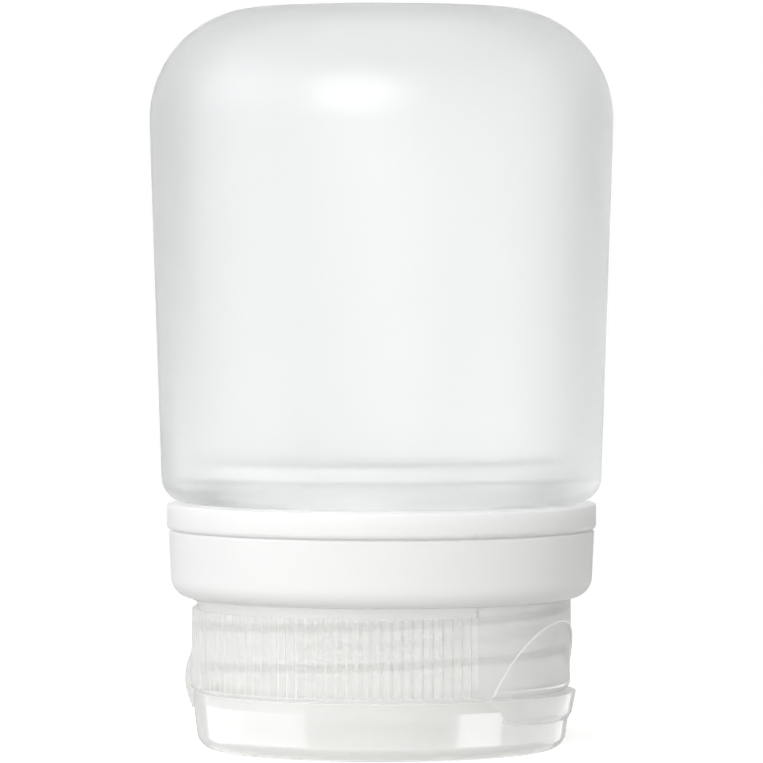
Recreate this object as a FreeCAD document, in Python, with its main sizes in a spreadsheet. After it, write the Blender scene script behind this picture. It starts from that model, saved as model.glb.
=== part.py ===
import FreeCAD, Part
import math
import os

import Sketcher

# Small squeeze bottle of soft silicone that stands upside down on its closed flip-top screw cap.
# Millimetres, +Z up. The origin is the centre of the lid's flat face, on the bottle's axis.
# The thumb tab of the lid points along +X and the living hinge is on the -X side.

# Driving dimensions, in millimetres apart from the angles in degrees and the count of flutes
SIZES = {
    # Silicone bottle
    "body_diameter": 40.0,
    "body_length": 42.6,
    "body_wall": 2.4,
    "base_wall": 2.4,
    "base_round": 9.7,
    "base_rim": 1.8,
    "base_dish_depth": 0.5,
    "shoulder_overhang": 0.47,
    "shoulder_round": 2.2,
    "inner_shoulder_round": 0.8,
    "sleeve_wall": 2.1,
    # Rigid neck insert
    "neck_wall": 1.5,
    "thread_depth": 1.3,
    "flange_thickness": 1.2,
    "snap_reach": 0.45,
    "snap_height": 0.7,
    "mouth_bevel": 0.4,
    # White collar and marker ring
    "collar_height": 5.8,
    "collar_web": 1.2,
    "collar_sleeve_wall": 1.0,
    "collar_inset": 0.17,
    "collar_draft": 0.17,
    "collar_round": 1.8,
    "ring_height": 2.2,
    "ring_wall": 1.53,
    "ring_round": 0.4,
    "ring_groove": 0.1,
    "edge_round": 0.2,
    # Screw cap
    "cap_diameter": 32.7,
    "cap_height": 7.75,
    "cap_wall": 1.45,
    "cap_flare": 0.08,
    "cap_ledge": 1.0,
    "cap_edge_bevel": 0.2,
    "deck_thickness": 1.2,
    "deck_step": 1.6,
    "step_wall": 1.0,
    "orifice_diameter": 6.8,
    "spout_wall": 0.9,
    "spout_height": 0.9,
    "housing_wall": 1.3,
    "lip_reach": 0.25,
    "lip_height": 0.5,
    # Grip flutes and thumb panel of the cap
    "flute_count": 116,
    "flute_depth": 0.38,
    "flute_width": 0.6,
    "flute_rim": 0.35,
    "band_height": 0.75,
    "band_depth": 0.4,
    "thumb_zone_angle": 76.6,
    "scallop_radius": 9.8,
    "scallop_height": 6.2,
    "scallop_depth": 0.05,
    "scallop_curl": 0.7,
    # Flip lid
    "lid_height": 5.0,
    "lid_wall": 1.15,
    "lid_floor": 1.1,
    "lid_rim_height": 0.95,
    "lid_draft": 0.31,
    "lid_round": 1.4,
    "tab_angle": 70.0,
    "tab_reach": 0.75,
    "tab_drop": 2.35,
    "tab_draft": 0.3,
    "tab_round": 0.9,
    "plug_wall": 0.7,
    # Living hinge
    "strap_width": 6.4,
    "strap_thickness": 0.4,
    "strap_height": 4.75,
    "strap_bow": 0.66,
    "strap_rise": 0.7,
    "pad_reach": 0.05,
    "pad_margin": 0.15,
    # Seal and valve
    "seal_thickness": 1.0,
    "valve_diameter": 10.8,
    "valve_flange": 0.8,
    "valve_wall": 0.7,
    "valve_head": 0.5,
    "valve_dome": 0.5,
    "slit_length": 3.6,
    "slit_width": 0.12,
    "retainer_height": 1.6,
    "retainer_bevel": 0.3,
    # Clearances, and how far a cut runs past the face that it opens
    "fit_gap": 0.1,
    "ring_gap": 0.1,
    "parting_gap": 0.1,
    "cap_gap": 0.15,
    "pocket_gap": 0.2,
    "lid_gap": 0.3,
    "plug_gap": 0.3,
    "cut_overrun": 1.0,
}

# Places and sizes that follow from the driving dimensions, in the order in which they are worked out
DERIVED = {
    # Heights from the lid's flat face upwards
    "cap_bottom": "lid_height + parting_gap",
    "deck_outer": "cap_bottom - deck_step",
    "deck_inner": "deck_outer + deck_thickness",
    "pocket_top": "cap_bottom + cap_ledge",
    "neck_end": "deck_inner + seal_thickness",
    "cap_top": "cap_bottom + cap_height",
    "collar_bottom": "cap_top + cap_gap",
    "web_top": "collar_bottom + collar_web",
    "sleeve_end": "web_top + fit_gap",
    "collar_top": "collar_bottom + collar_height",
    "ring_bottom": "collar_top + ring_groove",
    "ring_top": "ring_bottom + ring_height",
    "shoulder_z": "ring_top + ring_gap",
    "shoulder_inner_z": "shoulder_z + body_wall",
    "flange_top": "shoulder_inner_z + flange_thickness",
    "base_z": "shoulder_z + body_length",
    # Radii from the screw cap outwards
    "cap_radius": "cap_diameter / 2",
    "cap_foot_radius": "cap_radius + cap_flare",
    "cap_bore": "cap_radius - cap_wall",
    "neck_radius": "cap_bore - thread_depth",
    "neck_bore": "neck_radius - neck_wall",
    "sleeve_in": "neck_radius + fit_gap",
    "sleeve_out": "sleeve_in + sleeve_wall",
    "collar_sleeve_in": "sleeve_out + fit_gap",
    "collar_sleeve_out": "collar_sleeve_in + collar_sleeve_wall",
    "ring_bore": "collar_sleeve_out + ring_gap",
    "ring_radius": "ring_bore + ring_wall",
    "collar_radius": "ring_radius - collar_inset",
    "shoulder_radius": "ring_radius + shoulder_overhang",
    "body_radius": "body_diameter / 2",
    # Bottle: tangent arcs at the ends of the tapered wall
    "taper_angle": "atan((body_radius - shoulder_radius) / (body_length - base_round - shoulder_round))",
    "taper_sine": "sin(taper_angle)",
    "taper_cosine": "cos(taper_angle)",
    "base_flat_r": "body_radius - base_round",
    "base_arc_r": "base_flat_r + base_round * taper_cosine",
    "base_arc_z": "base_z - base_round * (1 + taper_sine)",
    "dish_r": "base_flat_r - base_rim",
    "dish_z": "base_z - base_dish_depth",
    "dish_sphere": "(dish_r ^ 2 + base_dish_depth ^ 2) / (2 * base_dish_depth)",
    "shoulder_arc_z": "shoulder_z + shoulder_round * (1 - taper_sine)",
    "shoulder_flat_r": "shoulder_radius - shoulder_round * taper_cosine",
    "inner_base_round": "base_round - body_wall",
    "inner_base_top": "base_z - base_wall",
    "inner_base_r": "base_flat_r + inner_base_round * taper_cosine",
    "inner_base_z": "inner_base_top - inner_base_round * (1 + taper_sine)",
    "inner_shoulder_r": "shoulder_radius - body_wall",
    "inner_shoulder_z": "shoulder_inner_z + inner_shoulder_round * (1 - taper_sine)",
    "inner_shoulder_flat_r": "inner_shoulder_r - inner_shoulder_round * taper_cosine",
    # Neck insert: flange inside the shoulder, snap ridge under the collar
    "flange_r": "inner_shoulder_flat_r - fit_gap",
    "mouth_edge_r": "neck_bore + mouth_bevel",
    "mouth_edge_z": "neck_end + mouth_bevel",
    "mouth_top_z": "flange_top - mouth_bevel",
    "snap_r": "neck_radius + snap_reach",
    "snap_start": "collar_bottom - snap_height",
    "snap_peak": "collar_bottom - snap_height / 2",
    # Collar and marker ring
    "collar_angle": "atan(collar_draft / (collar_height - collar_round))",
    "collar_flat_r": "collar_radius - collar_draft - collar_round",
    "collar_arc_r": "collar_flat_r + collar_round * cos(collar_angle)",
    "collar_arc_z": "collar_bottom + collar_round * (1 - sin(collar_angle))",
    "collar_edge_r": "collar_radius - edge_round",
    "collar_edge_z": "collar_top - edge_round",
    "ring_flat_r": "ring_radius - ring_round",
    "ring_arc_z": "ring_bottom + ring_round",
    "ring_edge_r": "ring_radius - edge_round",
    "ring_edge_z": "ring_top - edge_round",
    # Cap: deck, spout, valve housing and the step that the lid closes over
    "orifice_r": "orifice_diameter / 2",
    "spout_r": "orifice_r + spout_wall",
    "spout_tip": "deck_outer - spout_height",
    "pocket_r": "neck_radius + pocket_gap",
    "step_r": "pocket_r + step_wall",
    "cap_bevel_r": "cap_foot_radius - cap_edge_bevel",
    "cap_bevel_z": "cap_bottom + cap_edge_bevel",
    "valve_r": "valve_diameter / 2",
    "valve_flange_z": "deck_inner + valve_flange",
    "housing_in": "valve_r + fit_gap",
    "housing_out": "housing_in + housing_wall",
    "lip_in": "housing_in - lip_reach",
    "lip_bottom": "valve_flange_z + retainer_height",
    "housing_top": "lip_bottom + lip_height",
    # Grip flutes: V-shaped cuts on both sides between the thumb zone and the hinge pad
    "flute_root_r": "cap_radius - flute_depth",
    "flute_outer_r": "cap_foot_radius + fit_gap",
    "flute_half": "flute_width / 2 * (flute_outer_r - flute_root_r) / flute_depth",
    "flute_low": "-flute_half",
    "flute_bottom": "cap_bottom + flute_rim",
    "flute_length": "cap_top - flute_bottom",
    "flute_pitch": "360 / flute_count",
    "flute_start": "thumb_zone_angle / 2 + flute_pitch / 2",
    "hinge_zone": "asin((strap_width / 2 + pad_margin) / cap_radius) / 1 deg + flute_pitch / 2",
    "flutes_a_side": "floor((180 - hinge_zone - flute_start) / flute_pitch) + 1",
    "flute_sweep": "flute_pitch * (flutes_a_side - 1)",
    "band_r": "cap_radius - band_depth",
    "band_bottom": "cap_top - band_height",
    "band_top": "cap_top + cut_overrun",
    "band_outer_r": "cap_foot_radius + cut_overrun",
    "band_angle": "360 - thumb_zone_angle",
    # Thumb panel: a shallow round-topped recess whose floor curls in at the cap's lower edge
    "scallop_floor_r": "cap_radius - scallop_depth",
    "scallop_curl_r": "scallop_floor_r - scallop_curl",
    "scallop_curl_z": "cap_bottom + scallop_curl",
    "scallop_low": "cap_bottom - cut_overrun",
    "scallop_outer_r": "cap_foot_radius + cut_overrun",
    "scallop_high": "cap_bottom + scallop_height + cut_overrun",
    "scallop_centre_z": "cap_bottom + scallop_height - scallop_radius",
    # Lid: cup with a plug ring round the spout
    "lid_inner_r": "step_r + lid_gap",
    "lid_radius": "lid_inner_r + lid_wall",
    "lid_rim_z": "lid_height - lid_rim_height",
    "lid_angle": "atan(lid_draft / (lid_rim_z - lid_round))",
    "lid_flat_r": "lid_radius - lid_draft - lid_round",
    "lid_arc_r": "lid_flat_r + lid_round * cos(lid_angle)",
    "lid_arc_z": "lid_round * (1 - sin(lid_angle))",
    "lid_inner_foot_r": "lid_inner_r - lid_draft",
    "lid_open_z": "lid_height + cut_overrun",
    "plug_in": "spout_r + plug_gap",
    "plug_out": "plug_in + plug_wall",
    "plug_top": "deck_outer - parting_gap",
    # Thumb tab: a drafted crescent of a smaller circle, which meets the lid's wall in a lens-shaped edge
    "tab_outer": "lid_radius + tab_reach",
    "tab_centre": "(tab_outer ^ 2 - lid_radius ^ 2) / (2 * (tab_outer - lid_radius * cos(tab_angle / 2)))",
    "tab_radius": "tab_outer - tab_centre",
    "tab_lean": "atan(tab_draft / (tab_drop - tab_round))",
    "tab_flat_r": "tab_radius - tab_draft - tab_round",
    "tab_arc_r": "tab_flat_r + tab_round * cos(tab_lean)",
    "tab_bottom": "lid_height - tab_drop",
    "tab_arc_z": "tab_bottom + tab_round * (1 - sin(tab_lean))",
    # Living hinge: a bowed strap on two flat pads, with its fold line at the outermost point
    "pad_x": "cap_foot_radius + pad_reach",
    "pad_half": "strap_width / 2 + pad_margin",
    "pad_left": "-pad_half",
    "pad_back": "sqrt(((cap_radius + cap_bore) / 2) ^ 2 - pad_half ^ 2)",
    "pad_depth": "pad_x - pad_back",
    "fold_z": "lid_height + strap_rise",
    "strap_outer_r": "((strap_height / 2) ^ 2 + strap_bow ^ 2) / (2 * strap_bow)",
    "strap_inner_r": "strap_outer_r - strap_thickness",
    "strap_foot_high": "strap_height / 2",
    "strap_foot_low": "sqrt(strap_inner_r ^ 2 - (strap_outer_r - strap_bow) ^ 2)",
    "strap_side": "-pad_x",
    "strap_top_out": "fold_z + strap_foot_high",
    "strap_top_in": "fold_z + strap_foot_low",
    "strap_bottom_in": "fold_z - strap_foot_low",
    "strap_bottom_out": "fold_z - strap_foot_high",
    "cap_pad_low": "strap_top_in - pad_margin",
    "cap_pad_high": "strap_top_out + pad_margin",
    "lid_pad_low": "strap_bottom_out - pad_margin",
    "lid_pad_high": "strap_bottom_in + pad_margin",
    # Washer under the neck, valve in the spout and its retaining ring
    "seal_in": "neck_bore + fit_gap",
    "valve_sleeve_r": "orifice_r - fit_gap",
    "valve_sleeve_in": "valve_sleeve_r - valve_wall",
    "valve_tip": "deck_outer - valve_dome",
    "dome_radius": "(valve_sleeve_r ^ 2 + valve_dome ^ 2) / (2 * valve_dome)",
    "dome_inner_radius": "dome_radius - valve_head",
    "valve_head_z": "valve_tip + dome_radius - sqrt(dome_inner_radius ^ 2 - valve_sleeve_in ^ 2)",
    "valve_head_tip": "valve_tip + valve_head",
    "slit_half": "slit_length / 2",
    "slit_left": "-slit_half",
    "slit_side": "slit_width / 2",
    "slit_low": "-slit_side",
    "slit_depth": "deck_inner - valve_tip",
    "retainer_edge_r": "valve_sleeve_r + retainer_bevel",
    "retainer_edge_z": "lip_bottom - retainer_bevel",
}

# Words in an outline for a coordinate of zero
AXIS = "axis"
GROUND = "ground"

doc = FreeCAD.newDocument("travel_bottle")
sheet = doc.addObject("Spreadsheet::Sheet", "Sizes")
for row, (name, value) in enumerate(SIZES.items(), start=1):
    sheet.set(f"A{row}", name)
    sheet.set(f"B{row}", str(value))
    sheet.setAlias(f"B{row}", name)
for row, (name, formula) in enumerate(DERIVED.items(), start=len(SIZES) + 1):
    sheet.set(f"A{row}", name)
    sheet.set(f"B{row}", "=" + formula)
    sheet.setAlias(f"B{row}", name)
doc.recompute()


def size(name):
    """Value of a named size, or zero for the words that mean the axis and the ground."""
    if name in (AXIS, GROUND):
        return 0.0
    return float(sheet.get(name))


def new_body(name):
    """Empty PartDesign body with its label."""
    body = doc.addObject("PartDesign::Body", name)
    body.Label = name
    return body


def plane_of(body, role):
    """One of the body's own origin planes."""
    return next(feature for feature in body.Origin.OriginFeatures if feature.Role == role)


def new_sketch(body, name, role, offset):
    """Sketch on a plane of the body, moved in the plane's own axes by the named sizes."""
    sketch = body.newObject("Sketcher::SketchObject", name)
    sketch.AttachmentSupport = [(plane_of(body, role), "")]
    sketch.MapMode = "FlatFace"
    for path, expression in offset.items():
        sketch.setExpression("AttachmentOffset." + path, expression)
    return sketch


def arc_between(start, end, radius, turn):
    """Minor arc from start to end that turns left or right on its way."""
    chord = end - start
    middle = (start + end) * 0.5
    left = FreeCAD.Vector(-chord.y, chord.x, 0).normalize()
    side = 1 if turn == "left" else -1
    reach = math.sqrt(max(radius ** 2 - (chord.Length / 2) ** 2, 0))
    centre = middle + left * (side * reach)
    first, last = (start, end) if turn == "left" else (end, start)
    angles = [math.atan2(point.y - centre.y, point.x - centre.x) for point in (first, last)]
    circle = Part.Circle(centre, FreeCAD.Vector(0, 0, 1), radius)
    return Part.ArcOfCircle(circle, angles[0], angles[1])


def pin(sketch, edge, end, across, up):
    """Tie one end of an edge to two named coordinates."""
    for kind, line, name in (("DistanceX", -2, across), ("DistanceY", -1, up)):
        if name in (AXIS, GROUND):
            sketch.addConstraint(Sketcher.Constraint("PointOnObject", edge, end, line))
        else:
            number = sketch.addConstraint(Sketcher.Constraint(kind, edge, end, size(name)))
            sketch.setExpression(f"Constraints[{number}]", f"Sizes.{name}")


def draw(body, name, role, corners, offset=None):
    """Closed outline through corners, each a pair of named coordinates.

    A corner with two more words is reached by an arc: its named radius, then left or right.
    """
    sketch = new_sketch(body, name, role, offset or {})
    points = [FreeCAD.Vector(size(corner[0]), size(corner[1]), 0) for corner in corners]
    ends = []
    for index, corner in enumerate(corners):
        start, end = points[index - 1], points[index]
        if len(corner) == 4:
            edge = sketch.addGeometry(arc_between(start, end, size(corner[2]), corner[3]))
            ends.append((edge, 1, 2) if corner[3] == "left" else (edge, 2, 1))
        else:
            edge = sketch.addGeometry(Part.LineSegment(start, end))
            ends.append((edge, 1, 2))
    for index, corner in enumerate(corners):
        edge, _, tail = ends[index]
        next_edge, next_head, _ = ends[(index + 1) % len(corners)]
        sketch.addConstraint(Sketcher.Constraint("Coincident", edge, tail, next_edge, next_head))
        pin(sketch, edge, tail, corner[0], corner[1])
        if len(corner) == 4:
            number = sketch.addConstraint(Sketcher.Constraint("Radius", edge, size(corner[2])))
            sketch.setExpression(f"Constraints[{number}]", f"Sizes.{corner[2]}")
    doc.recompute()
    return sketch


def turned(body, kind, sketch, angle=None):
    """Full turn of a sketch about its upright axis, or a part of one centred on the sketch."""
    feature = body.newObject(kind, sketch.Name + "_turn")
    feature.Profile = sketch
    feature.ReferenceAxis = (sketch, ["V_Axis"])
    feature.Angle = 360
    if angle:
        feature.Midplane = True
        feature.setExpression("Angle", f"Sizes.{angle}")
    doc.recompute()
    return feature


def turned_body(name, corners):
    """Body made by one full turn of an outline in the XZ plane."""
    body = new_body(name)
    turned(body, "PartDesign::Revolution", draw(body, name + "_outline", "XZ_Plane", corners))
    return body


def padded(body, sketch, length):
    """Pad of a sketch along its normal, by a named length."""
    feature = body.newObject("PartDesign::Pad", sketch.Name + "_pad")
    feature.Profile = sketch
    feature.setExpression("Length", f"Sizes.{length}")
    doc.recompute()
    return feature


def patterned_cut(body, sketch, depth, angle, count, reverse):
    """Cut of a sketch upwards by a named depth, repeated round the body's axis."""
    cut = body.newObject("PartDesign::Pocket", sketch.Name + "_cut")
    cut.Profile = sketch
    cut.Reversed = True
    cut.setExpression("Length", f"Sizes.{depth}")
    doc.recompute()
    pattern = body.newObject("PartDesign::PolarPattern", sketch.Name + "_pattern")
    pattern.Originals = [cut]
    pattern.Axis = (sketch, ["N_Axis"])
    pattern.Reversed = reverse
    pattern.setExpression("Angle", angle)
    pattern.setExpression("Occurrences", count)
    body.Tip = pattern
    doc.recompute()
    return pattern


def hinge_pad(body, name, low, high):
    """Flat pad on the hinge side of a round wall, for one foot of the strap."""
    outline = [("pad_left", low), ("pad_half", low), ("pad_half", high), ("pad_left", high)]
    return padded(body, draw(body, name, "YZ_Plane", outline, {"Base.z": "-Sizes.pad_x"}), "pad_depth")


def make_bottle_body():
    """Silicone bottle: tapered wall, round base with a shallow dish, and a sleeve inside the collar."""
    return turned_body("bottle_body", [
        (AXIS, "dish_z"),
        ("dish_r", "base_z", "dish_sphere", "left"),
        ("base_flat_r", "base_z"),
        ("base_arc_r", "base_arc_z", "base_round", "right"),
        ("shoulder_radius", "shoulder_arc_z"),
        ("shoulder_flat_r", "shoulder_z", "shoulder_round", "right"),
        ("sleeve_out", "shoulder_z"),
        ("sleeve_out", "sleeve_end"),
        ("sleeve_in", "sleeve_end"),
        ("sleeve_in", "shoulder_inner_z"),
        ("inner_shoulder_flat_r", "shoulder_inner_z"),
        ("inner_shoulder_r", "inner_shoulder_z", "inner_shoulder_round", "left"),
        ("inner_base_r", "inner_base_z"),
        ("base_flat_r", "inner_base_top", "inner_base_round", "left"),
        (AXIS, "inner_base_top"),
    ])


def make_neck_insert():
    """Rigid mouth: a tube with a flange inside the shoulder and a snap ridge under the collar."""
    return turned_body("neck_insert", [
        ("neck_bore", "mouth_edge_z"),
        ("mouth_edge_r", "neck_end"),
        ("neck_radius", "neck_end"),
        ("neck_radius", "snap_start"),
        ("snap_r", "snap_peak"),
        ("snap_r", "collar_bottom"),
        ("neck_radius", "collar_bottom"),
        ("neck_radius", "shoulder_inner_z"),
        ("flange_r", "shoulder_inner_z"),
        ("flange_r", "flange_top"),
        ("mouth_edge_r", "flange_top"),
        ("neck_bore", "mouth_top_z"),
    ])


def make_collar():
    """White collar: web on the neck, round lower edge, and the sleeve that the marker ring turns on."""
    return turned_body("collar", [
        ("sleeve_in", "collar_bottom"),
        ("collar_flat_r", "collar_bottom"),
        ("collar_arc_r", "collar_arc_z", "collar_round", "left"),
        ("collar_radius", "collar_edge_z"),
        ("collar_edge_r", "collar_top", "edge_round", "left"),
        ("collar_sleeve_out", "collar_top"),
        ("collar_sleeve_out", "shoulder_z"),
        ("collar_sleeve_in", "shoulder_z"),
        ("collar_sleeve_in", "web_top"),
        ("sleeve_in", "web_top"),
    ])


def make_marker_ring():
    """Thin white ring that turns on the collar's sleeve, under the bottle's shoulder."""
    return turned_body("marker_ring", [
        ("ring_bore", "ring_bottom"),
        ("ring_flat_r", "ring_bottom"),
        ("ring_radius", "ring_arc_z", "ring_round", "left"),
        ("ring_radius", "ring_edge_z"),
        ("ring_edge_r", "ring_top", "edge_round", "left"),
        ("ring_bore", "ring_top"),
    ])


def cut_flutes(body, side):
    """Grip flutes on one side of the cap, from the thumb zone round to the hinge pad."""
    sign = "" if side == "left" else "-"
    offset = {"Base.z": "Sizes.flute_bottom", "Rotation.Angle": f"{sign}Sizes.flute_start"}
    outline = [("flute_root_r", GROUND), ("flute_outer_r", "flute_low"), ("flute_outer_r", "flute_half")]
    sketch = draw(body, "flute_" + side, "XY_Plane", outline, offset)
    patterned_cut(body, sketch, "flute_length", "Sizes.flute_sweep", "Sizes.flutes_a_side", side == "right")


def make_cap():
    """Screw cap: deck with spout and valve housing, fluted skirt, hinge pad and thumb panel."""
    body = turned_body("cap_moulding", [
        ("orifice_r", "deck_inner"),
        ("orifice_r", "spout_tip"),
        ("spout_r", "spout_tip"),
        ("spout_r", "deck_outer"),
        ("step_r", "deck_outer"),
        ("step_r", "cap_bottom"),
        ("cap_bevel_r", "cap_bottom"),
        ("cap_foot_radius", "cap_bevel_z"),
        ("cap_radius", "cap_top"),
        ("cap_bore", "cap_top"),
        ("cap_bore", "pocket_top"),
        ("pocket_r", "pocket_top"),
        ("pocket_r", "deck_inner"),
        ("housing_out", "deck_inner"),
        ("housing_out", "housing_top"),
        ("lip_in", "housing_top"),
        ("lip_in", "lip_bottom"),
        ("housing_in", "lip_bottom"),
        ("housing_in", "deck_inner"),
    ])
    hinge_pad(body, "cap_hinge", "cap_pad_low", "cap_pad_high")
    band = draw(body, "plain_band", "XZ_Plane", [
        ("band_r", "band_bottom"),
        ("band_outer_r", "band_bottom"),
        ("band_outer_r", "band_top"),
        ("band_r", "band_top"),
    ], {"Rotation.Axis.y": "1", "Rotation.Axis.z": "0", "Rotation.Angle": "180"})
    turned(body, "PartDesign::Groove", band, "band_angle")
    cut_flutes(body, "left")
    cut_flutes(body, "right")

    floor = turned_body("scallop_floor", [
        ("scallop_floor_r", "scallop_high"),
        ("scallop_floor_r", "scallop_curl_z"),
        ("scallop_curl_r", "cap_bottom", "scallop_curl", "right"),
        ("scallop_curl_r", "scallop_low"),
        ("scallop_outer_r", "scallop_low"),
        ("scallop_outer_r", "scallop_high"),
    ])
    outline = doc.addObject("Part::Cylinder", "scallop_outline")
    outline.setExpression("Radius", "Sizes.scallop_radius")
    outline.setExpression("Height", "Sizes.scallop_outer_r")
    outline.Placement.Rotation = FreeCAD.Rotation(FreeCAD.Vector(0, 1, 0), 90)
    outline.setExpression("Placement.Base.z", "Sizes.scallop_centre_z")
    scallop = doc.addObject("Part::Common", "scallop")
    scallop.Base = floor
    scallop.Tool = outline
    cap = doc.addObject("Part::Cut", "cap")
    cap.Base = body
    cap.Tool = scallop
    cap.Label = "cap"
    doc.recompute()
    return cap


def make_lid():
    """Flip lid: drafted cup with a vertical rim, a crescent thumb tab, a hinge pad and a plug ring."""
    body = turned_body("lid", [
        (AXIS, GROUND),
        ("lid_flat_r", GROUND),
        ("lid_arc_r", "lid_arc_z", "lid_round", "left"),
        ("lid_radius", "lid_rim_z"),
        ("lid_radius", "lid_height"),
        (AXIS, "lid_height"),
    ])
    tab = draw(body, "thumb_tab", "XZ_Plane", [
        (AXIS, "tab_bottom"),
        ("tab_flat_r", "tab_bottom"),
        ("tab_arc_r", "tab_arc_z", "tab_round", "left"),
        ("tab_radius", "lid_height"),
        (AXIS, "lid_height"),
    ], {"Base.x": "Sizes.tab_centre"})
    turned(body, "PartDesign::Revolution", tab)
    hinge_pad(body, "lid_hinge", "lid_pad_low", "lid_pad_high")
    hollow = draw(body, "lid_hollow", "XZ_Plane", [
        (AXIS, "lid_floor"),
        ("plug_in", "lid_floor"),
        ("plug_in", "plug_top"),
        ("plug_out", "plug_top"),
        ("plug_out", "lid_floor"),
        ("lid_inner_foot_r", "lid_floor"),
        ("lid_inner_r", "lid_rim_z"),
        ("lid_inner_r", "lid_open_z"),
        (AXIS, "lid_open_z"),
    ])
    turned(body, "PartDesign::Groove", hollow)
    return body


def make_hinge_strap():
    """Living hinge: a thin bowed strap between the pads of cap and lid."""
    body = new_body("hinge_strap")
    sketch = draw(body, "strap_outline", "XZ_Plane", [
        ("strap_side", "strap_top_out"),
        ("strap_side", "strap_bottom_out", "strap_outer_r", "left"),
        ("strap_side", "strap_bottom_in"),
        ("strap_side", "strap_top_in", "strap_inner_r", "right"),
    ])
    padded(body, sketch, "strap_width").Midplane = True
    doc.recompute()
    return body


def make_cap_seal():
    """Washer between the end of the neck and the cap's deck."""
    return turned_body("cap_seal", [
        ("seal_in", "deck_inner"),
        ("neck_radius", "deck_inner"),
        ("neck_radius", "neck_end"),
        ("seal_in", "neck_end"),
    ])


def make_valve():
    """No-drip valve: a flange, a short sleeve through the deck and a domed head with crossed slits."""
    body = turned_body("valve", [
        (AXIS, "valve_tip"),
        ("valve_sleeve_r", "deck_outer", "dome_radius", "left"),
        ("valve_sleeve_r", "deck_inner"),
        ("valve_r", "deck_inner"),
        ("valve_r", "valve_flange_z"),
        ("valve_sleeve_in", "valve_flange_z"),
        ("valve_sleeve_in", "valve_head_z"),
        (AXIS, "valve_head_tip", "dome_inner_radius", "right"),
    ])
    sketch = draw(body, "slit", "XY_Plane", [
        ("slit_left", "slit_low"),
        ("slit_half", "slit_low"),
        ("slit_half", "slit_side"),
        ("slit_left", "slit_side"),
    ], {"Base.z": "Sizes.valve_tip"})
    patterned_cut(body, sketch, "slit_depth", "90", "2", False)
    return body


def make_valve_retainer():
    """Snap ring that holds the valve's flange under the lip of its housing."""
    return turned_body("valve_retainer", [
        ("valve_sleeve_r", "valve_flange_z"),
        ("valve_r", "valve_flange_z"),
        ("valve_r", "lip_bottom"),
        ("retainer_edge_r", "lip_bottom"),
        ("valve_sleeve_r", "retainer_edge_z"),
    ])


PIECES = [
    make_bottle_body(),
    make_neck_insert(),
    make_collar(),
    make_marker_ring(),
    make_cap(),
    make_lid(),
    make_hinge_strap(),
    make_cap_seal(),
    make_valve(),
    make_valve_retainer(),
]
doc.recompute()

for thing in doc.Objects:
    if {"Invalid", "Error"} & set(thing.State):
        raise RuntimeError(f"{thing.Label} failed: {thing.State}")
for piece in PIECES:
    if piece.Shape.isNull() or not piece.Shape.isValid() or len(piece.Shape.Solids) != 1:
        raise RuntimeError(f"{piece.Label} is not one valid solid")

os.makedirs("parts", exist_ok=True)
for piece in PIECES:
    piece.Shape.exportStep(f"parts/{piece.Label}.step")
    print(f"{piece.Label}: {piece.Shape.Volume:.1f} mm3, {len(piece.Shape.Faces)} faces")
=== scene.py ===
import math

import bmesh
import bpy
from mathutils import Matrix, Vector


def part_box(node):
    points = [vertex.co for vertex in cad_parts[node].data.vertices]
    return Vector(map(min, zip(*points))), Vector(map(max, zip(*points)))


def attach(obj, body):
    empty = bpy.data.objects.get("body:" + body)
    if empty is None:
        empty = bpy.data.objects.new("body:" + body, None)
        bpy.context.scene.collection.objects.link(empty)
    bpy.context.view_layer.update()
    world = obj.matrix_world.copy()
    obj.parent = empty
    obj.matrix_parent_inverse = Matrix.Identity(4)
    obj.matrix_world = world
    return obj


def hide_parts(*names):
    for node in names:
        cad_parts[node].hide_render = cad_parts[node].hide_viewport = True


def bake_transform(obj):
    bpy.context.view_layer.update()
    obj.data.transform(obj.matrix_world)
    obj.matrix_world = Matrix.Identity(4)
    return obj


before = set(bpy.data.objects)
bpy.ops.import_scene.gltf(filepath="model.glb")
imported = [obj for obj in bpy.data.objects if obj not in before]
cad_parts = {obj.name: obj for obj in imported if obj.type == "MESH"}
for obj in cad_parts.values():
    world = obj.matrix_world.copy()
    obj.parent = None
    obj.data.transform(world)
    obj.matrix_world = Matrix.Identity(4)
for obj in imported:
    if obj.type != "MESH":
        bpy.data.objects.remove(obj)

# Small silicone squeeze bottle that stands upside down on its closed flip-top cap.
# Outlines are in millimetres as (radius, height, round) corners, and become metres in the meshes.
MM = 0.001
FULL_TURN = 2 * math.pi
WELD_DISTANCE = 0.001
ARC_STEPS_PER_MM = 3
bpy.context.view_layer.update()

# Camera, from the photograph's own perspective, with its angles in degrees
CAMERA_AZIMUTH = 21.7
CAMERA_PITCH = 1.49
CAMERA_DISTANCE = 0.470
CAMERA_LENS = 256.7
CAMERA_NEAREST = 0.01
CAMERA_TARGET = Vector((0.0, 0.0, 0.03158))

# Thread of neck and cap: one start, right-handed
THREAD_LEAD = 3.4
THREAD_STEPS = 96
THREAD_START = math.radians(148)

# Scooped thumb panel of the cap, a circle seen from the thumb tab's side
PANEL_RADIUS = 9.8
PANEL_HEIGHT = 6.2

# Gap where pieces meet: lid and cap, collar and ring, ring and shoulder
PARTING_GAP = 0.1

# Thumb tab of the lid: axis and flat radius of the turned lens, the round under it and its lowest height
TAB_AXIS = 3.38
TAB_FLAT = 12.42
TAB_ROUND = 0.9
TAB_BOTTOM = 2.65
TAB_HALF_SWEEP = math.radians(29)

# Crossed slits of the valve: length, width and depth of the cut, and its middle above the valve's tip
SLIT_SIZE = (3.6, 0.12, 1.6)
SLIT_MIDDLE = 0.4
SLIT_CLEANING = 0.004

# Edges that turn more than this stay sharp
SHARP_ANGLE = math.radians(32)

# Levels of the studio's surround, to matt, mirror and glass rays
FILL_LEVEL = 0.5
MIRROR_LEVEL = -0.3
GLASS_DIMMING = -0.85

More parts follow.
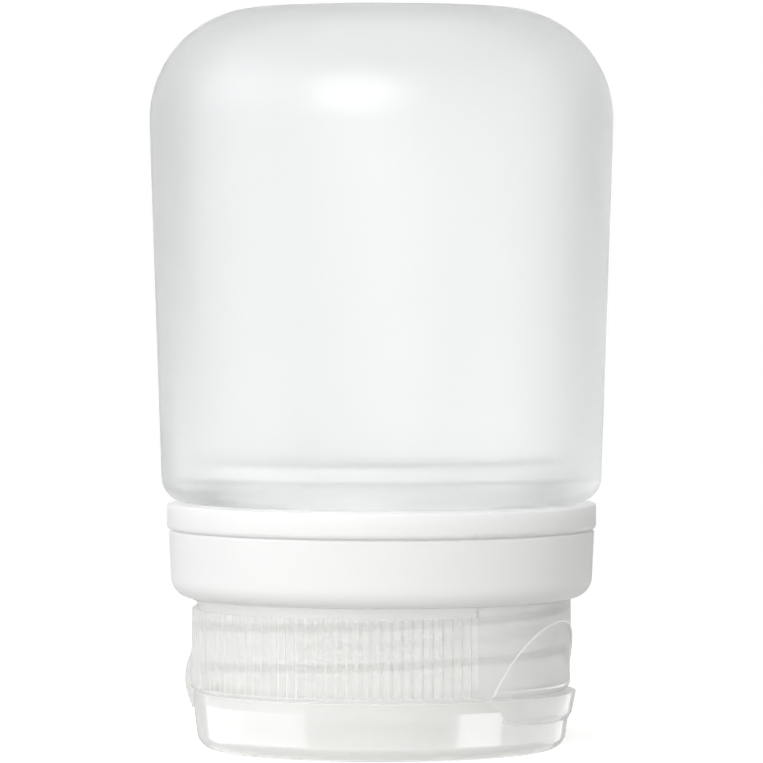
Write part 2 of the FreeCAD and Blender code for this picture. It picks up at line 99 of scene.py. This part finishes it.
# Low softboxes: azimuth and half width in degrees, lowest and highest height of the direction, brightness
LOW_SOFTBOXES = (
    (-92, 44, -0.35, -0.09, 3.2),
    (64, 17, -0.35, -0.17, 6.0),
    (118, 34, -0.35, -0.1, 1.8),
    (0, 180, -1.1, -0.35, 0.8),
)

# Lamps and floor, in metres and degrees
LAMP_SIZE = 0.4
LAMP_DISTANCE = 0.6
LAMP_ELEVATION = 25
FLOOR_HALF_WIDTH = 0.3
FLOOR_GLOW = 0.54
FLOOR_COLOUR = (0.75, 0.75, 0.74, 1)


def node_size(node):
    """Largest radius, lowest height and highest height of a solid, in millimetres."""
    low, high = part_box(node)
    return high.y / MM, low.z / MM, high.z / MM


# Meshes

def rounded_wire(bm, corners, closed, segments=8):
    """Wire in the XZ plane through (radius, height, round) corners, with tangent arcs for the rounds."""
    verts = [bm.verts.new((radius * MM, 0, height * MM)) for radius, height, _ in corners]
    ends = verts[1:] + verts[:1] if closed else verts[1:]
    for start, end in zip(verts, ends):
        bm.edges.new((start, end))
    for vert, (_, _, bend) in zip(verts, corners):
        if bend:
            arms = [edge.other_vert(vert).co - vert.co for edge in vert.link_edges]
            turn = math.pi - arms[0].angle(arms[1])
            bmesh.ops.bevel(
                bm, geom=[vert], offset=bend * MM * math.tan(turn / 2), offset_type="OFFSET",
                segments=max(segments, round(bend * ARC_STEPS_PER_MM)), profile=0.5,
                affect="VERTICES", material=-1,
            )


def spin_round(bm, steps):
    """Full turn of everything in the mesh about the bottle's axis, closed and facing outwards."""
    bmesh.ops.spin(
        bm, geom=bm.verts[:] + bm.edges[:], cent=(0, 0, 0), axis=(0, 0, 1), dvec=(0, 0, 0),
        angle=FULL_TURN, steps=steps, use_merge=True, use_duplicate=False,
    )
    bmesh.ops.remove_doubles(bm, verts=bm.verts[:], dist=WELD_DISTANCE * MM)
    bmesh.ops.recalc_face_normals(bm, faces=bm.faces[:])


def spin_section(bm, centre, axis, sweep, steps, rise=0.0):
    """Closed bar made by turning the mesh's section about an axis; gives the last section's points."""
    bar = bmesh.ops.spin(
        bm, geom=bm.verts[:] + bm.edges[:] + bm.faces[:], cent=centre, axis=axis,
        dvec=(0, 0, rise / steps), angle=sweep, steps=steps, use_merge=False, use_duplicate=False,
    )
    bmesh.ops.recalc_face_normals(bm, faces=bm.faces[:])
    return [part for part in bar["geom_last"] if isinstance(part, bmesh.types.BMVert)]


def finish_piece(bm, name, material, body, replaced=()):
    """Object from a mesh, smooth apart from its sharp edges, riding on a body."""
    mesh = bpy.data.meshes.new(name)
    bm.to_mesh(mesh)
    bm.free()
    mesh.shade_smooth()
    mesh.set_sharp_from_angle(angle=SHARP_ANGLE)
    mesh.materials.append(material)
    piece = bpy.data.objects.new(name, mesh)
    bpy.context.scene.collection.objects.link(piece)
    if replaced:
        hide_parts(*replaced)
    if body:
        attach(piece, body)
    return piece


def turned_piece(name, corners, material, body, closed=True, steps=160, replaced=()):
    """Piece made by a full turn of a rounded outline."""
    bm = bmesh.new()
    rounded_wire(bm, corners, closed)
    spin_round(bm, steps)
    return finish_piece(bm, name, material, body, replaced)


def band(inner, outer, bottom, top, edge=0):
    """Outline of a flat band between two radii and two heights."""
    return [(inner, bottom, edge), (outer, bottom, edge), (outer, top, edge), (inner, top, edge)]


def bead_section(bm, radius, place):
    """Round section of a fine raised line that starts along Y, at a place in millimetres."""
    ring = bmesh.ops.create_circle(bm, cap_ends=True, segments=8, radius=radius * MM)["verts"]
    bmesh.ops.rotate(bm, verts=ring, cent=(0, 0, 0), matrix=Matrix.Rotation(math.pi / 2, 3, "X"))
    bmesh.ops.translate(bm, verts=ring, vec=[length * MM for length in place])
    return ring


# Node helpers

def maths(tree, operation, *values):
    """Output of a Math node whose inputs are sockets or numbers."""
    node = tree.nodes.new("ShaderNodeMath")
    node.operation = operation
    for entry, value in zip(node.inputs, values):
        if isinstance(value, bpy.types.NodeSocket):
            tree.links.new(value, entry)
        else:
            entry.default_value = value
    return node.outputs["Value"]


def mixed(tree, share, first, second):
    """Output of a Mix Shader between two shader sockets, by a socket or a number."""
    mix = tree.nodes.new("ShaderNodeMixShader")
    if isinstance(share, bpy.types.NodeSocket):
        tree.links.new(share, mix.inputs["Fac"])
    else:
        mix.inputs["Fac"].default_value = share
    tree.links.new(first, mix.inputs[1])
    tree.links.new(second, mix.inputs[2])
    return mix.outputs["Shader"]


def ramp(tree, value, start, end):
    """Socket that runs from 0 to 1 as a value goes from start to end."""
    step = tree.nodes.new("ShaderNodeMapRange")
    step.inputs["From Min"].default_value = start
    step.inputs["From Max"].default_value = end
    tree.links.new(value, step.inputs["Value"])
    return step.outputs["Result"]


def empty_tree(owner, output):
    """Cleared node tree of a material or world, with its output node."""
    owner.use_nodes = True
    owner.node_tree.nodes.clear()
    return owner.node_tree, owner.node_tree.nodes.new(output)


# Materials

def moulded_surface_group():
    """Slight clouding of a moulded surface: tint between two colours, roughness and fine relief."""
    group = bpy.data.node_groups.new("moulded surface", "ShaderNodeTree")
    for name in ("Clear tint", "Cloudy tint"):
        group.interface.new_socket(name, in_out="INPUT", socket_type="NodeSocketColor")
    for name in ("Cloud scale", "Grain scale", "Least roughness", "Most roughness"):
        group.interface.new_socket(name, in_out="INPUT", socket_type="NodeSocketFloat")
    group.interface.new_socket("Tint", in_out="OUTPUT", socket_type="NodeSocketColor")
    for name in ("Roughness", "Relief"):
        group.interface.new_socket(name, in_out="OUTPUT", socket_type="NodeSocketFloat")
    nodes, links = group.nodes, group.links
    given = nodes.new("NodeGroupInput")
    result = nodes.new("NodeGroupOutput")
    place = nodes.new("ShaderNodeTexCoord")
    cloud = nodes.new("ShaderNodeTexNoise")
    cloud.inputs["Detail"].default_value = 3.0
    grain = nodes.new("ShaderNodeTexNoise")
    grain.inputs["Detail"].default_value = 4.0
    for noise, scale in ((cloud, "Cloud scale"), (grain, "Grain scale")):
        links.new(place.outputs["Object"], noise.inputs["Vector"])
        links.new(given.outputs[scale], noise.inputs["Scale"])
    tint = nodes.new("ShaderNodeMix")
    tint.data_type = "RGBA"
    links.new(cloud.outputs["Fac"], tint.inputs["Factor"])
    links.new(given.outputs["Clear tint"], tint.inputs["A"])
    links.new(given.outputs["Cloudy tint"], tint.inputs["B"])
    rough = nodes.new("ShaderNodeMapRange")
    links.new(grain.outputs["Fac"], rough.inputs["Value"])
    links.new(given.outputs["Least roughness"], rough.inputs["To Min"])
    links.new(given.outputs["Most roughness"], rough.inputs["To Max"])
    links.new(tint.outputs["Result"], result.inputs["Tint"])
    links.new(rough.outputs["Result"], result.inputs["Roughness"])
    links.new(grain.outputs["Fac"], result.inputs["Relief"])
    return group


SURFACE = moulded_surface_group()


def moulded_material(name, clear, cloudy, roughness, scales, relief, constants):
    """Moulded plastic or silicone on the shared group, with constants set on the shader's own sockets."""
    material = bpy.data.materials.new(name)
    tree, output = empty_tree(material, "ShaderNodeOutputMaterial")
    surface = tree.nodes.new("ShaderNodeGroup")
    surface.name = "surface"
    surface.node_tree = SURFACE
    surface.inputs["Clear tint"].default_value = (*clear, 1)
    surface.inputs["Cloudy tint"].default_value = (*cloudy, 1)
    for entry, value in zip(("Cloud scale", "Grain scale"), scales):
        surface.inputs[entry].default_value = value
    for entry, value in zip(("Least roughness", "Most roughness"), roughness):
        surface.inputs[entry].default_value = value
    bump = tree.nodes.new("ShaderNodeBump")
    bump.inputs["Distance"].default_value = relief * MM
    tree.links.new(surface.outputs["Relief"], bump.inputs["Height"])
    shader = tree.nodes.new("ShaderNodeBsdfPrincipled")
    tree.links.new(surface.outputs["Tint"], shader.inputs["Base Color"])
    tree.links.new(surface.outputs["Roughness"], shader.inputs["Roughness"])
    tree.links.new(bump.outputs["Normal"], shader.inputs["Normal"])
    for socket, value in constants.items():
        shader.inputs[socket].default_value = value
    tree.links.new(shader.outputs["BSDF"], output.inputs["Surface"])
    return material


def absorb_light(material, colour, density):
    """Thick walls of a clear material look darker than thin ones."""
    tree = material.node_tree
    volume = tree.nodes.new("ShaderNodeVolumeAbsorption")
    volume.inputs["Color"].default_value = (*colour, 1)
    volume.inputs["Density"].default_value = density
    tree.links.new(volume.outputs["Volume"], tree.get_output_node("ALL").inputs["Volume"])


def make_milky(material, share):
    """Share of the light that a wall scatters through."""
    tree = material.node_tree
    end = tree.get_output_node("ALL").inputs["Surface"]
    milk = tree.nodes.new("ShaderNodeBsdfTranslucent")
    tree.links.new(tree.nodes["surface"].outputs["Tint"], milk.inputs["Color"])
    tree.links.new(mixed(tree, share, end.links[0].from_socket, milk.outputs["BSDF"]), end)


def let_lamps_in(material, share):
    """Share of the lamps' light that a wall lets through to what is behind it."""
    tree = material.node_tree
    end = tree.get_output_node("ALL").inputs["Surface"]
    path = tree.nodes.new("ShaderNodeLightPath")
    through = tree.nodes.new("ShaderNodeBsdfTransparent")
    lamp_rays = maths(tree, "MULTIPLY", path.outputs["Is Shadow Ray"], share)
    tree.links.new(mixed(tree, lamp_rays, end.links[0].from_socket, through.outputs["BSDF"]), end)


# Refraction of silicone and of the moulded plastics
SILICONE_IOR = 1.41
PLASTIC_IOR = 1.49

SILICONE = moulded_material(
    "milky silicone", clear=(0.985, 0.99, 0.992), cloudy=(0.97, 0.977, 0.98),
    roughness=(0.28, 0.36), scales=(60, 900), relief=0.02,
    constants={"Transmission Weight": 0.96, "IOR": SILICONE_IOR},
)
absorb_light(SILICONE, colour=(0.63, 0.66, 0.67), density=9.0)
make_milky(SILICONE, share=0.1)
let_lamps_in(SILICONE, share=0.85)

CLEAR_PLASTIC = moulded_material(
    "natural cap plastic", clear=(0.965, 0.965, 0.955), cloudy=(0.94, 0.94, 0.93),
    roughness=(0.08, 0.11), scales=(90, 700), relief=0.001,
    constants={"Transmission Weight": 0.6, "IOR": PLASTIC_IOR},
)
absorb_light(CLEAR_PLASTIC, colour=(0.6, 0.6, 0.58), density=20.0)
make_milky(CLEAR_PLASTIC, share=0.2)
let_lamps_in(CLEAR_PLASTIC, share=0.92)

WHITE_PLASTIC = moulded_material(
    "white collar plastic", clear=(0.87, 0.87, 0.865), cloudy=(0.85, 0.85, 0.845),
    roughness=(0.45, 0.55), scales=(120, 2500), relief=0.012,
    constants={
        "IOR": PLASTIC_IOR, "Specular IOR Level": 0.2, "Subsurface Weight": 1.0,
        "Subsurface Radius": (1, 1, 1), "Subsurface Scale": 1.2 * MM,
    },
)
let_lamps_in(WHITE_PLASTIC, share=0.9)

NECK_PLASTIC = moulded_material(
    "neck plastic", clear=(0.97, 0.97, 0.965), cloudy=(0.95, 0.95, 0.945),
    roughness=(0.28, 0.36), scales=(120, 1800), relief=0.01,
    constants={"Transmission Weight": 0.3, "IOR": PLASTIC_IOR},
)
make_milky(NECK_PLASTIC, share=0.6)
let_lamps_in(NECK_PLASTIC, share=0.9)

# Plastic of the threads, tinted a shade darker than the cap's and the neck's: painted shade for the dark
# lines along the threads seen through the cap's wall
THREAD_PLASTIC_WITH_PAINTED_SHADE = moulded_material(
    "thread plastic with painted shade", clear=(0.9, 0.9, 0.89), cloudy=(0.87, 0.87, 0.86),
    roughness=(0.08, 0.11), scales=(90, 700), relief=0.001,
    constants={"Transmission Weight": 0.97, "IOR": PLASTIC_IOR},
)
make_milky(THREAD_PLASTIC_WITH_PAINTED_SHADE, share=0.04)
let_lamps_in(THREAD_PLASTIC_WITH_PAINTED_SHADE, share=0.85)

SOFT_SEAL = moulded_material(
    "seal silicone", clear=(0.9, 0.905, 0.9), cloudy=(0.86, 0.865, 0.86),
    roughness=(0.4, 0.5), scales=(200, 1600), relief=0.015,
    constants={"Transmission Weight": 0.5, "IOR": SILICONE_IOR},
)
make_milky(SOFT_SEAL, share=0.4)
let_lamps_in(SOFT_SEAL, share=0.85)

for node, material in (
    ("collar", WHITE_PLASTIC), ("marker_ring", WHITE_PLASTIC),
    ("cap", CLEAR_PLASTIC), ("lid", CLEAR_PLASTIC),
    ("neck_insert", NECK_PLASTIC), ("valve_retainer", NECK_PLASTIC),
):
    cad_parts[node].material_slots[0].material = material


# Silicone bottle

def make_bottle():
    """Soft bottle shell: tapered wall, large base round, shallow dish and a sleeve inside the collar."""
    _, sleeve_end, base = node_size("bottle_body")
    shoulder = node_size("marker_ring")[2] + PARTING_GAP
    wall, flange_cover = 2.4, 0.5
    dish_edge, dish_depth, dish_turn, dish_turn_depth = 8.5, 0.5, 5.2, 0.42
    base_radius, shoulder_radius = 20.32, 18.93
    inner_base_radius, inner_shoulder_radius = 17.85, 16.68
    sleeve_outer, sleeve_inner, flange_seat = 15.8, 13.7, 15.74
    inner_top, inner_shoulder = base - wall, shoulder + wall
    flange_top = node_size("neck_insert")[2]
    corners = [
        (0, base - dish_depth, 0),
        (dish_turn, base - dish_turn_depth, 9),
        (dish_edge, base, 1.2),
        (base_radius, base, 9.7),
        (shoulder_radius, shoulder, 2.2),
        (sleeve_outer, shoulder, 0.3),
        (sleeve_outer, sleeve_end, 0.4),
        (sleeve_inner, sleeve_end, 0.4),
        (sleeve_inner, inner_shoulder, 0.3),
        (flange_seat, inner_shoulder, 0.1),
        (flange_seat, flange_top, 0.2),
        (inner_shoulder_radius, flange_top + flange_cover, 1.0),
        (inner_base_radius, inner_top, 7.3),
        (0, inner_top, 0),
    ]
    turned_piece(
        "bottle_shell", corners, SILICONE, "bottle", closed=False, steps=192,
        replaced=["bottle_body"],
    )


# Threads of neck and cap

def make_thread(name, root, crest, foot, turns, body):
    """Helical ridge from a root radius to a crest radius, which runs out at both ends."""
    half_foot, half_crest, sink, near = 0.34, 0.18, 0.05, 0.01
    sunk = root - math.copysign(sink, crest - root)
    corners = [
        (sunk, foot - half_foot), (crest, foot - half_crest),
        (crest, foot + half_crest), (sunk, foot + half_foot),
    ]
    bm = bmesh.new()
    verts = [bm.verts.new((radius * MM, 0, height * MM)) for radius, height in corners]
    bm.faces.new(verts)
    bmesh.ops.rotate(bm, verts=verts, cent=(0, 0, 0), matrix=Matrix.Rotation(THREAD_START, 3, "Z"))
    steps = round(THREAD_STEPS * turns)
    last = spin_section(bm, (0, 0, 0), (0, 0, 1), FULL_TURN * turns, steps, THREAD_LEAD * turns * MM)
    for vert in verts + last:
        if abs(vert.co.xy.length - crest * MM) < near * MM:
            vert.co.xy *= root / crest
    # The ridge takes the darker thread plastic, whose tint paints shade along it
    finish_piece(bm, name, THREAD_PLASTIC_WITH_PAINTED_SHADE, body)


# Fine rims in the joints of ring, collar and cap

def make_ring_seat():
    """Low white rim between collar and marker ring, which makes the floor of the fine groove."""
    ring_radius, ring_bottom, _ = node_size("marker_ring")
    collar_top = ring_bottom - PARTING_GAP
    inner, groove_depth, play = 16.9, 0.36, 0.01
    corners = band(inner, ring_radius - groove_depth, collar_top + play, ring_bottom - play)
    turned_piece("ring_seat", corners, WHITE_PLASTIC, "bottle", steps=192)


def make_cap_rim():
    """Low bead on the cap's upper edge, which meets the underside of the collar."""
    cap_top = node_size("cap")[2]
    inner, outer, bead = 15.2, 16.33, 0.12
    corners = band(inner, outer, cap_top, cap_top + bead)
    turned_piece("cap_rim", corners, CLEAR_PLASTIC, "cap", steps=192)


# Washer and no-drip valve

def make_washer():
    """Soft washer between the end of the neck and the deck of the cap."""
    outer, bottom, top = node_size("cap_seal")
    bore, edge = 12.2, 0.25
    corners = band(bore, outer, bottom, top, edge)
    turned_piece("neck_washer", corners, SOFT_SEAL, "seal", steps=128, replaced=["cap_seal"])


def make_valve():
    """No-drip valve: flange, sleeve and a domed head with crossed slits."""
    outer, tip, top = node_size("valve")
    sleeve, bore = 3.3, 2.6
    dome, head, head_edge, flange = 0.5, 0.5, 0.82, 1.7
    corners = [
        (0, tip, 0), (sleeve, tip + dome, 0.3), (sleeve, tip + flange, 0.1),
        (outer, tip + flange, 0.2), (outer, top, 0.2),
        (bore, top, 0.2), (bore, tip + head_edge, 0.2), (0, tip + head, 0),
    ]
    valve = turned_piece(
        "slit_valve", corners, SOFT_SEAL, "cap", closed=False, steps=96, replaced=["valve"],
    )
    cut_slits(valve, tip)


def cut_slits(valve, tip):
    """Two crossed slits through the valve's head."""
    cutters = []
    for turn in (0, math.pi / 2):
        bm = bmesh.new()
        blade = bmesh.ops.create_cube(bm, size=1)["verts"]
        bmesh.ops.scale(bm, verts=blade, vec=[length * MM for length in SLIT_SIZE])
        bmesh.ops.rotate(bm, verts=blade, cent=(0, 0, 0), matrix=Matrix.Rotation(turn, 3, "Z"))
        bmesh.ops.translate(bm, verts=blade, vec=(0, 0, (tip + SLIT_MIDDLE) * MM))
        mesh = bpy.data.meshes.new("slit blade")
        bm.to_mesh(mesh)
        bm.free()
        cutter = bpy.data.objects.new("slit blade", mesh)
        bpy.context.scene.collection.objects.link(cutter)
        slit = valve.modifiers.new("slit", "BOOLEAN")
        slit.operation = "DIFFERENCE"
        slit.solver = "EXACT"
        slit.object = cutter
        cutters.append(cutter)
    cut = bpy.data.meshes.new_from_object(valve.evaluated_get(bpy.context.evaluated_depsgraph_get()))
    bm = bmesh.new()
    bm.from_mesh(cut)
    bmesh.ops.remove_doubles(bm, verts=bm.verts[:], dist=SLIT_CLEANING * MM)
    bmesh.ops.dissolve_degenerate(bm, edges=bm.edges[:], dist=SLIT_CLEANING * MM)
    bm.to_mesh(cut)
    bm.free()
    valve.modifiers.clear()
    valve.data = cut
    for cutter in cutters:
        bpy.data.objects.remove(cutter)


# Living hinge, thumb panel and thumb tab

def make_hinge():
    """Living hinge: a thin strap, bowed in an arc, between cap and lid."""
    low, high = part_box("hinge_strap")
    middle = (low.z + high.z) / 2
    bow, half = high.x - low.x, (high.z - low.z) / 2
    radius = (half ** 2 + bow ** 2) / (2 * bow)
    sweep = 2 * math.asin(half / radius)
    thickness = 0.4 * MM
    centre = Vector((low.x + radius, 0, middle))
    inner = radius - thickness
    corners = [(radius, low.y), (radius, high.y), (inner, high.y), (inner, low.y)]
    bm = bmesh.new()
    verts = [bm.verts.new((centre.x - reach, side, middle)) for reach, side in corners]
    bm.faces.new(verts)
    bmesh.ops.rotate(bm, verts=verts, cent=centre, matrix=Matrix.Rotation(-sweep / 2, 3, "Y"))
    spin_section(bm, centre, (0, 1, 0), sweep, steps=32)
    strap = finish_piece(bm, "living_hinge", CLEAR_PLASTIC, None, ["hinge_strap"])
    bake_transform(strap)


def make_panel_bead():
    """Fine raised line round the scooped thumb panel, laid on the cap's round wall."""
    skirt_radius, bead = node_size("cap")[0], 0.075
    panel_top = node_size("lid")[2] + PARTING_GAP + PANEL_HEIGHT
    centre = Vector((0, 0, (panel_top - PANEL_RADIUS) * MM))
    end_height = 0.3
    sweep = 2 * math.acos((PANEL_RADIUS - PANEL_HEIGHT + end_height) / PANEL_RADIUS)
    bm = bmesh.new()
    ring = bead_section(bm, bead, (0, 0, panel_top))
    bmesh.ops.rotate(bm, verts=ring, cent=centre, matrix=Matrix.Rotation(-sweep / 2, 3, "X"))
    spin_section(bm, centre, (1, 0, 0), sweep, steps=64)
    for vert in bm.verts:
        vert.co.x += math.sqrt((skirt_radius * MM) ** 2 - vert.co.y ** 2)
    finish_piece(bm, "panel_bead", CLEAR_PLASTIC, "cap")


def make_tab_edge():
    """Fine raised line along the lower edge of the thumb tab, where it meets the lid's wall."""
    wall, bead = 16.12, 0.13
    bm = bmesh.new()
    ring = bead_section(bm, bead, (wall, 0, TAB_BOTTOM + TAB_ROUND))
    bmesh.ops.rotate(bm, verts=ring, cent=(0, 0, 0), matrix=Matrix.Rotation(-TAB_HALF_SWEEP, 3, "Z"))
    spin_section(bm, (0, 0, 0), (0, 0, 1), 2 * TAB_HALF_SWEEP, steps=64)
    for vert in bm.verts:
        turn = math.atan2(vert.co.y, vert.co.x)
        reach = math.hypot(wall * math.cos(turn) - TAB_AXIS, wall * math.sin(turn)) - TAB_FLAT
        vert.co.z -= math.sqrt(TAB_ROUND ** 2 - reach ** 2) * MM
    finish_piece(bm, "tab_edge", CLEAR_PLASTIC, "lid")


make_bottle()
make_thread(
    "neck_thread", root=13.6, crest=14.4, foot=8.4, turns=1.0, body="bottle",
)
make_thread(
    "cap_thread", root=14.9, crest=14.15, foot=6.7, turns=1.7, body="cap",
)
make_ring_seat()
make_cap_rim()
make_washer()
make_valve()
make_hinge()
make_panel_bead()
make_tab_edge()


# Stage, light and camera

def from_camera(azimuth, elevation):
    """Direction at an azimuth from the camera's own side, in degrees, and at an elevation."""
    turn, lift = math.radians(CAMERA_AZIMUTH + azimuth), math.radians(elevation)
    return Vector((math.sin(turn) * math.cos(lift), -math.cos(turn) * math.cos(lift), math.sin(lift)))


def make_floor():
    """Pale floor, white to camera and glass rays, that keeps a soft shadow."""
    bm = bmesh.new()
    bmesh.ops.create_grid(bm, x_segments=1, y_segments=1, size=FLOOR_HALF_WIDTH)
    mesh = bpy.data.meshes.new("floor")
    bm.to_mesh(mesh)
    bm.free()
    floor = bpy.data.objects.new("floor", mesh)
    bpy.context.scene.collection.objects.link(floor)
    material = bpy.data.materials.new("pale floor")
    tree, output = empty_tree(material, "ShaderNodeOutputMaterial")
    matt = tree.nodes.new("ShaderNodeBsdfDiffuse")
    matt.inputs["Color"].default_value = FLOOR_COLOUR
    shadow = tree.nodes.new("ShaderNodeBsdfDiffuse")
    shadow.inputs["Color"].default_value = FLOOR_COLOUR
    glow = tree.nodes.new("ShaderNodeEmission")
    glow.inputs["Strength"].default_value = FLOOR_GLOW
    white = tree.nodes.new("ShaderNodeAddShader")
    tree.links.new(shadow.outputs["BSDF"], white.inputs[0])
    tree.links.new(glow.outputs["Emission"], white.inputs[1])
    path = tree.nodes.new("ShaderNodeLightPath")
    seen = maths(tree, "MAXIMUM", path.outputs["Is Camera Ray"], path.outputs["Is Transmission Ray"])
    surface = mixed(tree, seen, matt.outputs["BSDF"], white.outputs["Shader"])
    tree.links.new(surface, output.inputs["Surface"])
    mesh.materials.append(material)
    floor.visible_glossy = False


def cosine_to(tree, direction, azimuth):
    """Cosine between a direction socket and a level direction at an azimuth from the camera's side."""
    dot = tree.nodes.new("ShaderNodeVectorMath")
    dot.operation = "DOT_PRODUCT"
    dot.inputs[1].default_value = from_camera(azimuth, 0)
    tree.links.new(direction, dot.inputs[0])
    return dot.outputs["Value"]


def height_of(tree, direction):
    """Height of a direction socket, from -1 straight down to 1 straight up."""
    split = tree.nodes.new("ShaderNodeSeparateXYZ")
    tree.links.new(direction, split.inputs["Vector"])
    return split.outputs["Z"]


def low_softbox(tree, direction, azimuth, half_width, low, high, brightness):
    """Brightness of a softbox below eye level, which the lid's drafted wall mirrors."""
    height, soft, slant = height_of(tree, direction), 0.01, 0.966
    edge = slant * math.cos(math.radians(half_width))
    inside = ramp(tree, cosine_to(tree, direction, azimuth), edge - soft, edge + soft)
    inside = maths(tree, "MULTIPLY", inside, ramp(tree, height, low - soft, low + soft))
    inside = maths(tree, "MULTIPLY", inside, ramp(tree, height, high + soft, high - soft))
    return maths(tree, "MULTIPLY", inside, brightness)


def make_world():
    """White surround, darker at the sides and front to glass rays, with low softboxes to mirror rays."""
    world = bpy.data.worlds.new("studio")
    bpy.context.scene.world = world
    tree, output = empty_tree(world, "ShaderNodeOutputWorld")
    fill = tree.nodes.new("ShaderNodeBackground")
    fill.inputs["Color"].default_value = (1, 1, 1, 1)
    fill.inputs["Strength"].default_value = FILL_LEVEL
    path = tree.nodes.new("ShaderNodeLightPath")
    mirror = maths(tree, "MULTIPLY", path.outputs["Is Glossy Ray"], path.outputs["Is Reflection Ray"])
    seen = maths(tree, "MAXIMUM", path.outputs["Is Camera Ray"], path.outputs["Is Transmission Ray"])
    direction = tree.nodes.new("ShaderNodeTexCoord").outputs["Generated"]
    level = MIRROR_LEVEL
    for softbox in LOW_SOFTBOXES:
        level = maths(tree, "ADD", low_softbox(tree, direction, *softbox), level)
    side = ramp(tree, maths(tree, "ABSOLUTE", cosine_to(tree, direction, 90)), 0.25, 0.75)
    eye_level = ramp(tree, maths(tree, "ABSOLUTE", height_of(tree, direction)), 0.36, 0.12)
    front = ramp(tree, cosine_to(tree, direction, 0), 0.1, 0.7)
    dark = maths(tree, "MAXIMUM", maths(tree, "MULTIPLY", side, eye_level), front)
    dark = maths(tree, "MULTIPLY", dark, path.outputs["Is Transmission Ray"])
    dimmed = maths(tree, "MULTIPLY", dark, GLASS_DIMMING)
    white = tree.nodes.new("ShaderNodeBackground")
    white.inputs["Color"].default_value = (1, 1, 1, 1)
    strength = maths(tree, "MULTIPLY_ADD", mirror, level, maths(tree, "ADD", dimmed, 1.0))
    tree.links.new(strength, white.inputs["Strength"])
    shown = maths(tree, "MAXIMUM", seen, path.outputs["Is Glossy Ray"])
    surround = mixed(tree, shown, fill.outputs["Background"], white.outputs["Background"])
    tree.links.new(surround, output.inputs["Surface"])


def aim_at_bottle(name, data, azimuth, elevation, distance):
    """Lamp or camera placed at an azimuth from the camera's own side, aimed at the bottle."""
    direction = from_camera(azimuth, elevation)
    holder = bpy.data.objects.new(name, data)
    holder.location = CAMERA_TARGET + direction * distance
    holder.rotation_euler = (-direction).to_track_quat("-Z", "Y").to_euler()
    bpy.context.scene.collection.objects.link(holder)
    return holder


def make_lamp(name, azimuth, power, colour):
    """Softbox above the bottle, at an azimuth from the camera's own side."""
    lamp = bpy.data.lights.new(name, "AREA")
    lamp.size = LAMP_SIZE
    lamp.energy = power
    lamp.color = colour
    aim_at_bottle(name, lamp, azimuth, LAMP_ELEVATION, LAMP_DISTANCE)


def make_camera():
    """Long lens at the photograph's height and side."""
    camera = bpy.data.cameras.new("camera")
    camera.lens = CAMERA_LENS
    camera.clip_start = CAMERA_NEAREST
    bpy.context.scene.camera = aim_at_bottle("camera", camera, 0, CAMERA_PITCH, CAMERA_DISTANCE)


make_floor()
make_world()
make_lamp("front softbox", azimuth=-13, power=2.05, colour=(1.0, 1.0, 1.0))
make_lamp("left softbox", azimuth=-80, power=0.76, colour=(0.97, 0.985, 1.0))
make_camera()
bpy.context.scene.view_settings.view_transform = "Standard"
